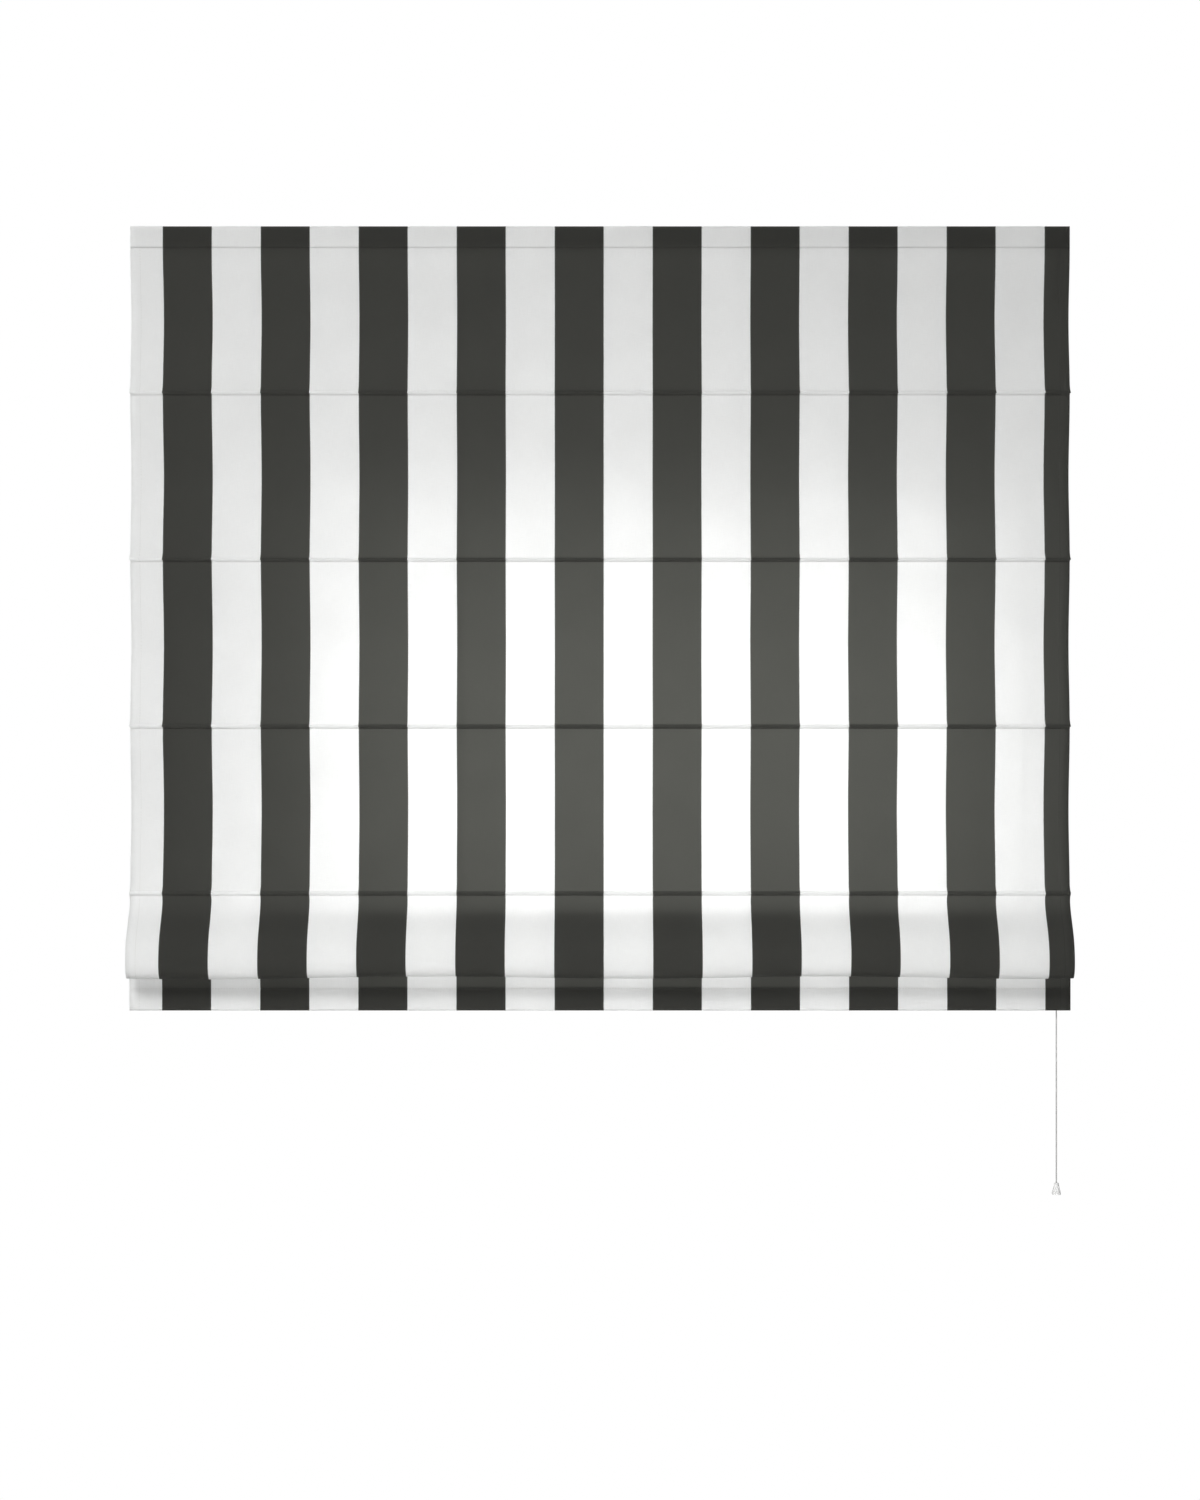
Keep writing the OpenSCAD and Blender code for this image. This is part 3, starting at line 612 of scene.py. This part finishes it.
FOLD_DOWN = ((CLOTH_MID, FOLD_START), (CLOTH_MID - FOLD_LEAN, FOLD_START - FOLD_RUN * 0.4),
             (FOLD_FRONT, FOLD_FULL + FOLD_RUN * 0.5), (FOLD_FRONT, FOLD_FULL))
FOLD_ROUND = ((FOLD_FRONT, FOLD_FULL), (FOLD_FRONT, FOLD_FULL - FOLD_LIP * 0.6),
              (FOLD_FRONT + FOLD_TUCK * 0.45, FOLD_LOW), (FOLD_FRONT + FOLD_TUCK, FOLD_LOW))
FOLD_UP = ((FOLD_FRONT + FOLD_TUCK, FOLD_LOW), (FOLD_FRONT + FOLD_TUCK * 2.2, FOLD_LOW),
           (SLEEVE_Y - TURN_IN, FOLD_LOW + FOLD_DROP * 0.35), (SLEEVE_Y - TURN_IN, TURN_Z))
FOLD_SPLIT = 0.1
FOLD_HEAD = 0.02
FOLD_HEAD_ROWS = 6
PANEL_EDGE = 0.0034

# Zones from the top down, each a piece of the cloth. A zone starts at the last point of the one above it.
zones = [("band", [(CLOTH_MID, CLOTH_TOP)] + line((CLOTH_MID, CLOTH_TOP), (CLOTH_MID, RAIL_BOTTOM), 8))]
for i in range(1, 5):
    top = RAIL_BOTTOM if i == 1 else ROD_Z[i - 1] - RIDGE_H
    low = ROD_Z[i] + RIDGE_H
    zones.append((f"panel_{i}_upper", panel(top, low, 0.0 if i == 1 else PANEL_EDGE, 0.5, 20)))
    zones.append((f"panel_{i}_lower", panel(top, low, 0.5, 1 - PANEL_EDGE, 20)))
    zones.append((f"ridge_{i}", panel(top, low, 1 - PANEL_EDGE, 1.0, 1) + ridge(ROD_Z[i])[1:]))
    if i < 4:
        zones[-1][1].extend(panel(low - 2 * RIDGE_H, ROD_Z[i + 1] + RIDGE_H, 0.0, PANEL_EDGE, 1))
zones[-1][1].extend(curve(*FOLD_DOWN, 2, 0.0, FOLD_HEAD))
zones.append(("fold_front", curve(*FOLD_DOWN, 30, FOLD_HEAD, 1.0) + curve(*FOLD_ROUND, 18)
              + curve(*FOLD_UP, 4, 0.0, FOLD_SPLIT)))
zones.append(("fold_back", curve(*FOLD_UP, 24, FOLD_SPLIT, 1.0)))
TURN_ROWS = 13
HEM_ROWS = 24
hem_round = HEM_Z + CLOTH_T / 2 + HEM_TURN
hem_back = BAR_Y + HEM_TURN
zones.append(("bottom", arc((SLEEVE_Y, TURN_Z), TURN_IN, 170, 0, TURN_ROWS - 1)
              + line((HEM_Y, TURN_Z), (HEM_Y, hem_round), HEM_ROWS)
              + arc((BAR_Y, hem_round), HEM_TURN, 180, 360, 12)[1:]
              + line((hem_back, hem_round), (hem_back, BAR_TOP), 4)
              + line((hem_back, BAR_TOP), (SEAM_Y, SEAM_Z), 2)
              + line((SEAM_Y, SEAM_Z), (SEAM_Y, SEAM_Z + SEAM_L), 2)))

section = np.array([p for _, points in zones for p in points])
ends = np.cumsum([len(points) for _, points in zones]) - 1
spans = {name: (0 if k == 0 else int(ends[k - 1]), int(ends[k])) for k, (name, _) in enumerate(zones)}
run = distances(section)

# The direction to the back of the cloth at each row, longer in the turns so that its thickness stays the same
step = unit(np.diff(section, axis=0))
mean = unit(np.vstack([step[:1], step[:-1] + step[1:], step[-1:]]))
miter = 1 / np.clip((mean * np.vstack([step, step[-1:]])).sum(axis=1), 0.5, 1)
to_back = np.stack([-mean[:, 1], mean[:, 0]], axis=1) * miter[:, None]

# Columns: every stripe's edges, a few lines inside each stripe, and both sides of the side hems' edges
COLUMN_STEP = 9.0
edges = [0.0] + [EDGE_STRIPE_W + STRIPE_W * k for k in range(STRIPE_EDGES)] + [CLOTH_W]
columns = set()
for a, b in zip(edges, edges[1:]):
    count = max(4, round((b - a) / COLUMN_STEP))
    columns |= {round(a + (b - a) * k / count, 4) for k in range(count + 1)}
columns |= {SIDE_HEM - HEM_STEP, SIDE_HEM, CLOTH_W - SIDE_HEM, CLOTH_W - SIDE_HEM + HEM_STEP}
columns = np.array(sorted(columns))
stripe = np.searchsorted(edges, (columns[:-1] + columns[1:]) / 2) - 1


def bell(distance, width):
    """A smooth bump, 1 at no distance and almost 0 at twice the width."""
    return np.exp(-(distance / width) ** 2)


def in_zone(name):
    """Which rows of the section are in a zone."""
    rows = np.zeros(len(section), bool)
    rows[spans[name][0]:spans[name][1] + 1] = True
    return rows


# How each row departs from the plain section: narrower between the rods, wider at them, loose in the panels
heights = section[:, 1]
upper_rows = np.arange(len(section)) <= spans["panel_4_lower"][1]
above_fold = np.arange(len(section)) <= spans["fold_front"][0] + FOLD_HEAD_ROWS
widening = np.zeros(len(section))
loose = np.zeros(len(section))
fine = np.zeros(len(section))
which = np.zeros(len(section))
for i in range(1, 5):
    top = RAIL_BOTTOM if i == 1 else ROD_Z[i - 1]
    inside = upper_rows & (heights < top) & (heights > ROD_Z[i])
    t = (top - heights) / (top - ROD_Z[i])
    widening = np.where(inside, -WAIST * np.sin(np.pi * t) ** 2, widening)
    loose = np.where(inside, np.sin(math.tau * t) ** 2, loose)
    from_rod = np.minimum(heights - ROD_Z[i], np.inf if i == 1 else top - heights)
    near_rod = np.clip((from_rod - RIDGE_H) / FINE_START, 0, 1) * bell(from_rod, FINE_REACH)
    fine = np.where(inside, near_rod, fine)
    which = np.where(inside, i, which)
    widening += ROD_END * bell(heights - ROD_Z[i], ROD_END_L) * above_fold
fold_rows = in_zone("fold_front") | in_zone("fold_back")
fold_from = run[fold_rows].min()
fold_to = run[fold_rows].max()
fold_share = np.clip((run - fold_from) / (fold_to - fold_from), 0, 1)
in_fold = np.where(fold_rows, np.sin(np.pi * fold_share) ** 2, 0)
in_hem = np.where(in_zone("bottom"), np.clip((TURN_Z - heights) / HEM_END_L, 0, 1), 0)
widening += HEM_END * in_hem

u = columns[None, :]
x = u - CLOTH_W / 2
sheet_x = x * (1 + widening[:, None] / (CLOTH_W / 2))
phase = which[:, None] * PANEL_PHASE


def waves(table, phase=1.0):
    """The sum of a table's waves along the width."""
    return sum(height * np.sin(math.tau * x / length + share * phase) for height, length, share in table)


sway = (loose[:, None] * waves(LOOSE_WAVES, phase) + fine[:, None] * waves(FINE_WAVES, phase)
        + in_fold[:, None] * waves(FOLD_WAVES))
dip, dip_l, dip_x = FOLD_DIP
corner, corner_l, corner_x = FOLD_CORNER
sag = in_fold[:, None] * (dip * np.cos(math.tau * (x - dip_x) / dip_l)
                          - corner * bell(x - corner_x, corner_l))
off_tape = TAPE_CLEAR * np.clip((heights - RAIL_BOTTOM) / TAPE_EASE, 0, 1)
sheet_y = section[:, :1] + sway - off_tape[:, None]
sheet_z = section[:, 1:] + sag

from_edge = np.minimum(u, CLOTH_W - u)
free_back = np.clip((RAIL_BOTTOM - HEM_START - heights) / HEM_EASE, 0, 1)
for z in ROD_Z[1:]:
    free_back = free_back * (1 - ROD_PRESS * bell(heights - z, ROD_PRESS_L))
free_back = np.where(in_zone("bottom") & (heights < SEAM_Z + HEM_STOP), 0.0, free_back)
back_t = CLOTH_T / 2 + HEM_LAYER * free_back[:, None] * np.clip((SIDE_HEM - from_edge) / HEM_STEP, 0, 1)


def offset(distance):
    """The sheet's points, moved to its back by a distance."""
    return np.stack([sheet_x, sheet_y + to_back[:, :1] * distance, sheet_z + to_back[:, 1:] * distance],
                    axis=-1)


sheet_front = offset(-CLOTH_T / 2)
sheet_back = offset(back_t)


def stitches(rows, at_u, side):
    """Stitches down the sheet at one distance from its left edge, each a small pillow on its surface."""
    face = sheet_front if side == "front" else sheet_back
    column = int(np.argmin(np.abs(columns - at_u)))
    other = min(column + 1, len(columns) - 1)
    if other == column or columns[column] > at_u:
        column, other = column - 1, column
    share = (at_u - columns[column]) / (columns[other] - columns[column])
    track = face[rows[0]:rows[1] + 1, column] * (1 - share) + face[rows[0]:rows[1] + 1, other] * share
    out_of = (to_back if side == "back" else -to_back)[rows[0]:rows[1] + 1]
    along = distances(track)
    half, quarter_w = np.array([STITCH_W / 2, 0, 0]), np.array([STITCH_W / 4, 0, 0])
    points, faces = [], []
    for start in np.arange(STITCH_PITCH / 2, along[-1] - STITCH_L, STITCH_PITCH):
        marks = start + STITCH_SHARES * STITCH_L
        middle = np.stack([np.interp(marks, along, track[:, k]) for k in range(3)], axis=1)
        lean = np.stack([np.interp(marks, along, out_of[:, k]) for k in range(2)], axis=1)
        middle[:, 1:] += lean * STITCH_LIFTS[:, None]
        low = middle.copy()
        low[:, 1:] -= lean * (STITCH_LIFTS + STITCH_SUNK)[:, None]
        faces += shifted(STITCH_FACES, len(points))
        for m, b in zip(middle, low):
            points += [b - half, m - quarter_w, m + quarter_w, b + half]
    return points, faces


def cross_stitches(z, side, margin=4.0):
    """Stitches across the bottom panel at one height."""
    first = spans["bottom"][0] + TURN_ROWS
    rows = np.arange(first, first + HEM_ROWS)
    row = int(rows[np.argmin(np.abs(section[rows, 1] - z))])
    y = section[row, 0] - CLOTH_T / 2 if side == "front" else SEAM_Y + CLOTH_T / 2
    out = -1.0 if side == "front" else 1.0
    sunk = y - out * STITCH_SUNK
    points, faces = [], []
    for start in np.arange(-CLOTH_W / 2 + margin, CLOTH_W / 2 - margin - STITCH_L, STITCH_PITCH):
        faces += shifted(STITCH_FACES, len(points))
        for at, lift in zip(start + STITCH_SHARES * STITCH_L, STITCH_LIFTS):
            points += [(at, sunk, z - STITCH_W / 2), (at, y + out * lift, z - STITCH_W / 4),
                       (at, y + out * lift, z + STITCH_W / 4), (at, sunk, z + STITCH_W / 2)]
    return points, faces


def cloth_piece(name):
    """The rows of one zone as a sheet of two skins, closed where the cloth ends, with its stitches."""
    first, last = spans[name]
    front = sheet_front[first:last + 1]
    back = sheet_back[first:last + 1]
    rows, wide = front.shape[:2]
    size = rows * wide
    r, c = np.meshgrid(np.arange(rows - 1), np.arange(wide - 1), indexing="ij")
    a = (r * wide + c).ravel()
    skin = np.concatenate([np.stack([a, a + wide, a + wide + 1, a + 1], axis=1),
                           np.stack([a, a + 1, a + wide + 1, a + wide], axis=1) + size])
    colours = np.tile(np.tile(stripe % 2, rows - 1), 2)
    left = np.arange(rows - 1) * wide
    right = left + wide - 1
    top = np.arange(wide - 1)
    low = top + (rows - 1) * wide
    rim = [np.stack([left, left + size, left + wide + size, left + wide], axis=1),
           np.stack([right, right + wide, right + wide + size, right + size], axis=1)]
    rim_colours = [np.full(rows - 1, stripe[0] % 2), np.full(rows - 1, stripe[-1] % 2)]
    if name in ("band", "bottom"):
        rim += [np.stack([top, top + 1, top + 1 + size, top + size], axis=1),
                np.stack([low, low + size, low + 1 + size, low + 1], axis=1)]
        rim_colours += [stripe % 2, stripe % 2]
    rim = np.concatenate(rim)
    rim_colours = np.concatenate(rim_colours)
    points = np.concatenate([front.reshape(-1, 3), back.reshape(-1, 3)])
    places = np.stack(np.broadcast_arrays(u, run[first:last + 1, None]), axis=-1).reshape(-1, 2) * MM
    faces = np.concatenate([skin, rim]).tolist()
    colours = np.concatenate([colours, rim_colours]).tolist()
    smooth = [True] * len(skin) + [False] * len(rim)
    places = np.concatenate([places, places])

    sewn = []
    if name != "band":
        for at_u, slot in ((SIDE_HEM - STITCH_INSET, 2), (CLOTH_W - SIDE_HEM + STITCH_INSET, 3)):
            for side in ("front", "back"):
                sewn.append((stitches((first, last), at_u, side), slot))
    if name == "bottom":
        for side in ("front", "back"):
            sewn.append((cross_stitches(SEAM_Z + SEAM_L / 2, side), None))
    for (more, more_faces), slot in sewn:
        if not more:
            continue
        more = np.asarray(more)
        faces += shifted(more_faces, len(points))
        if slot is None:
            middle = np.array([more[list(f), 0].mean() for f in more_faces]) + CLOTH_W / 2
            colours += (2 + (np.searchsorted(edges, middle) - 1) % 2).tolist()
        else:
            colours += [slot] * len(more_faces)
        smooth += [True] * len(more_faces)
        points = np.concatenate([points, more])
        places = np.concatenate([places, more[:, [0, 2]] * MM])
    obj = mesh_object(f"cloth_{name}", points, faces)
    for material in (white_cloth, black_cloth, white_thread, black_thread):
        obj.data.materials.append(material)
    obj.data.polygons.foreach_set("material_index", colours)
    obj.data.polygons.foreach_set("use_smooth", smooth)
    set_threads(obj.data, places[np.asarray(faces)])
    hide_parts("cloth")
    return obj


def gather(obj):
    """Give half a panel a mesh of its own."""
    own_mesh(obj)


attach(cloth_piece("band"), "rail")
for i in range(1, 5):
    upper = cloth_piece(f"panel_{i}_upper")
    lower = cloth_piece(f"panel_{i}_lower")
    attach(upper, "rail" if i == 1 else f"row_{i - 1}")
    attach(lower, f"row_{i}")
    gather(upper)
    gather(lower)
    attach(cloth_piece(f"ridge_{i}"), f"row_{i}")
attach(cloth_piece("fold_front"), "row_4")
fold_back = cloth_piece("fold_back")
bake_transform(fold_back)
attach(cloth_piece("bottom"), "bottom")


# Rod sleeves with soft walls, and the stitches that hold the rings

def rod_sleeve(i, wall=0.55, clear=0.08, sides=18, end_rows=6, middle_rows=230):
    """A woven tube round a rod, pressed flatter at its ends and slightly uneven along its length."""
    z = ROD_Z[i]
    half = SLEEVE_L / 2
    along = np.concatenate([np.linspace(-half, -half + SLEEVE_END, end_rows),
                            np.linspace(-half + 2 * SLEEVE_END, half - 2 * SLEEVE_END, middle_rows),
                            np.linspace(half - SLEEVE_END, half, end_rows)])
    angle = np.arange(sides) * math.tau / sides
    pinch = np.clip((half - np.abs(along)) / PINCH_L, PINCH, 1)
    (short, short_l), (long, long_l) = SLEEVE_RIPPLES
    ripple = (short * np.sin(along / short_l + i)[:, None] * np.cos(2 * angle + i)
              + long * np.sin(along / long_l + 2 * i)[:, None] * np.sin(3 * angle))
    outer = SLEEVE_R - clear + ripple
    skins = []
    for radius in (outer, outer - wall):
        y = SLEEVE_Y + radius * np.cos(angle)[None, :] * (PINCH_FLAT + (1 - PINCH_FLAT) * pinch[:, None])
        height = z + radius * np.sin(angle)[None, :]
        skins.append(np.stack(np.broadcast_arrays(along[:, None], y, height), axis=-1))
    rows = len(along)
    outside, corner_rows, corner_sides = round_faces(rows, sides)
    size = rows * sides
    inside = outside[:, ::-1] + size
    here = np.arange(sides)
    beside = (here + 1) % sides
    rim = np.stack([here, here + size, beside + size, beside], axis=1)
    faces = np.concatenate([outside, inside, rim, rim[:, ::-1] + (rows - 1) * sides])
    points = np.concatenate([s.reshape(-1, 3) for s in skins])
    obj = mesh_object(f"rod_sleeve_{i}_cloth", points, faces.tolist())
    girth = math.tau * SLEEVE_R / sides
    places = np.stack([along[corner_rows], corner_sides * girth], axis=-1) * MM
    rim_places = np.zeros((2 * sides, 4, 2))
    set_threads(obj.data, np.concatenate([places, places[:, ::-1], rim_places]))
    obj.data.materials.append(sleeve_cloth)
    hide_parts(f"rod_sleeve_{i}")
    return obj


def ring_stitches(i, front=0.75, deep=2.2, high=1.45, mean_r=1.8, thread_r=0.3, steps=20, sides=6):
    """Turns of thread that hold each ring of a row to its sleeve."""
    points, faces, places = [], [], []
    turn_faces = round_faces(steps, sides, closed=True)[0]
    across = np.array([1.0, 0.0, 0.0])
    for x in COLUMN_X:
        for shift, tilt in RING_TURNS:
            faces += (turn_faces + len(points)).tolist()
            for k in range(steps):
                t = math.tau * k / steps
                centre = np.array([x + shift + tilt * math.sin(t), RING_WIRE_Y - front + deep * math.cos(t),
                                   ROD_Z[i] + high * math.sin(t)])
                out = unit(np.array([0.0, math.cos(t) / deep, math.sin(t) / high]))
                for j in range(sides):
                    s = math.tau * j / sides
                    points.append(centre + thread_r * (math.cos(s) * out + math.sin(s) * across))
                    places.append((j / sides, t * mean_r * MM))
    obj = mesh_object(f"ring_stitches_{i}", points, faces)
    set_threads(obj.data, np.asarray(places)[np.asarray(faces)])
    obj.data.materials.append(white_thread)
    return obj


for i in range(1, 6):
    body = f"row_{i}" if i < 5 else "bottom"
    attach(rod_sleeve(i), body)
    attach(ring_stitches(i), body)


# Floor, light and background

FLOOR_Z = -2450.0
FLOOR_LEFT, FLOOR_RIGHT = -2600.0, 2600.0
FLOOR_NEAR, FLOOR_FAR = -2600.0, 1800.0
FLOOR_MIDDLE = (0.0, -400.0, FLOOR_Z)
FLOOR_WHITE = 0.7
FADE_FROM, FADE_TO = 1200.0, 2100.0
WORLD_LEVEL = 0.08


def studio_floor():
    """A pale floor that takes the object's shadow and fades to the white background towards its edge."""
    s = new_shader("pale_floor")
    place = s.add("ShaderNodeTexCoord").outputs["Object"]
    cloudy = s.noise(place, 60.0)
    lit = s.principled(s.shade(cloudy, (0.85, 0.85, 0.84), (0.87, 0.87, 0.86)), s.between(cloudy, 0.7, 0.8),
                       s.bump(cloudy, 0.1, 0.0005), **{"Specular IOR Level": 0.1})
    seen_white = s.add("ShaderNodeEmission")
    seen_white.inputs["Strength"].default_value = 1.0
    away = s.add("ShaderNodeVectorMath", operation="DISTANCE")
    s.join(place, away.inputs[0])
    away.inputs[1].default_value = [c * MM for c in FLOOR_MIDDLE]
    fade = s.between(away.outputs["Value"], FLOOR_WHITE, 1.0, FADE_FROM * MM, FADE_TO * MM)
    share = s.math("MULTIPLY", s.add("ShaderNodeLightPath").outputs["Is Camera Ray"], fade)
    return s.done(s.mixed(lit, seen_white.outputs[0], share))


floor = mesh_object("floor", [(FLOOR_LEFT, FLOOR_NEAR, FLOOR_Z), (FLOOR_RIGHT, FLOOR_NEAR, FLOOR_Z),
                              (FLOOR_RIGHT, FLOOR_FAR, FLOOR_Z), (FLOOR_LEFT, FLOOR_FAR, FLOOR_Z)],
                    [(0, 1, 2, 3)], smooth=False)
floor.data.materials.append(studio_floor())


def soft_light(name, place, target, size, power, spread=180):
    """A rectangular soft light, with lengths in metres and the angle in degrees that it spreads over."""
    light = bpy.data.lights.new(name, "AREA")
    light.shape = "RECTANGLE"
    light.size, light.size_y = size
    light.energy = power
    light.spread = math.radians(spread)
    obj = link(bpy.data.objects.new(name, light))
    obj.location = place
    obj.rotation_euler = (Vector(target) - Vector(place)).to_track_quat("-Z", "Y").to_euler()
    obj.visible_camera = False


soft_light("key", (-2.2, -4.4, 3.0), (-0.2, -0.03, -1.15), (2.4, 1.8), 42.0, 70)
soft_light("right", (2.2, -4.4, 3.0), (0.1, -0.03, -1.15), (2.4, 1.8), 6.0, 70)
soft_light("fill", (-1.1, -4.4, -1.2), (0.0, -0.03, -0.75), (2.0, 1.2), 70.0)
soft_light("low", (0.2, -2.4, -1.95), (0.12, -0.05, -1.1), (1.6, 0.5), 2.8, 50)
soft_light("behind", (0.1, 0.15, -0.74), (0.1, -0.03, -0.74), (1.04, 0.62), 3.9)
soft_light("back", (0.6, 3.4, 0.9), (0.0, -0.03, -0.5), (2.4, 1.8), 30.0)
for side in (-1, 1):
    soft_light(f"side_{side}", (3.4 * side, -0.05, 0.3), (0.7 * side, -0.02, -0.1), (0.8, 0.8), 2.5, 60)

studio = Shader(bpy.data.worlds.new("studio"), "ShaderNodeOutputWorld")
path = studio.add("ShaderNodeLightPath").outputs
seen = studio.math("MAXIMUM", studio.math("MAXIMUM", path["Is Camera Ray"], path["Is Glossy Ray"]),
                   path["Is Transmission Ray"])
# Light that scatters through the cloth counts as both transmitted and diffuse, and takes the plain level
clearly_seen = studio.math("SUBTRACT", seen, path["Is Diffuse Ray"], clamp=True)
background = studio.add("ShaderNodeBackground")
background.inputs["Color"].default_value = (1, 1, 1, 1)
studio.join(studio.between(clearly_seen, WORLD_LEVEL, 1.0), background.inputs["Strength"])
bpy.context.scene.world = studio.done(background.outputs[0])

bpy.context.scene.view_settings.view_transform = "Standard"
